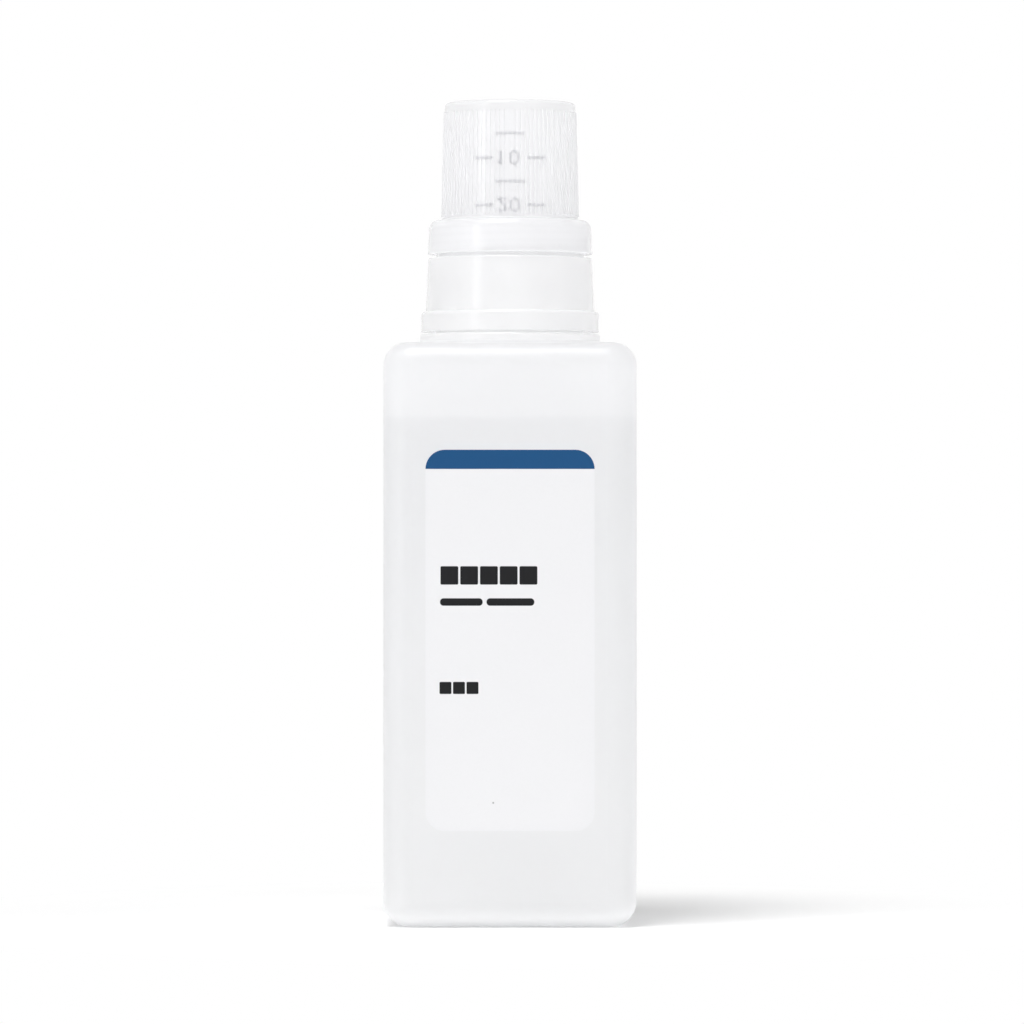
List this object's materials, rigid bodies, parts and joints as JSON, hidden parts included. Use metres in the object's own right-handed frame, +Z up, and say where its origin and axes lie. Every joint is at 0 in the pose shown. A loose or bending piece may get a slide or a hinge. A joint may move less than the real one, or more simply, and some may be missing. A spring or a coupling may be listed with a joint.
{
  "type": "laundry detergent bottle",
  "caption": "Square translucent plastic bottle of liquid laundry detergent with a pouring collar, and a ribbed measuring cup as its screw cap.",
  "frame": {"origin": "centre of the bottle's base, on the surface that it stands on", "axes": "+Z up the bottle and along the neck, the cap at the top; the label's face looks along -Y; +X to the right when the label is read"},
  "size_m": [0.065, 0.0651, 0.213],
  "materials": {
    "natural_polyethylene": "satin, translucent",
    "clear_liquid": "clear liquid",
    "label_film": "matte film, printed",
    "natural_polypropylene": "satin, translucent"
  },
  "bodies": {
    "bottle_body": {"bottle": "natural_polyethylene", "detergent": "clear_liquid", "label": "label_film"},
    "collar_body": {"pouring_collar": "natural_polypropylene"},
    "cap_body": {"measuring_cap": "natural_polypropylene"}
  },
  "joints": [
    {"name": "collar_lift", "type": "slide", "parent": "bottle_body", "child": "collar_body", "axis": [0, 0, 1], "range_m": [0, 0.04]},
    {"name": "cap_lift", "type": "slide", "parent": "collar_body", "child": "cap_body", "axis": [0, 0, 1], "range_m": [0, 0.06]}
  ]
}
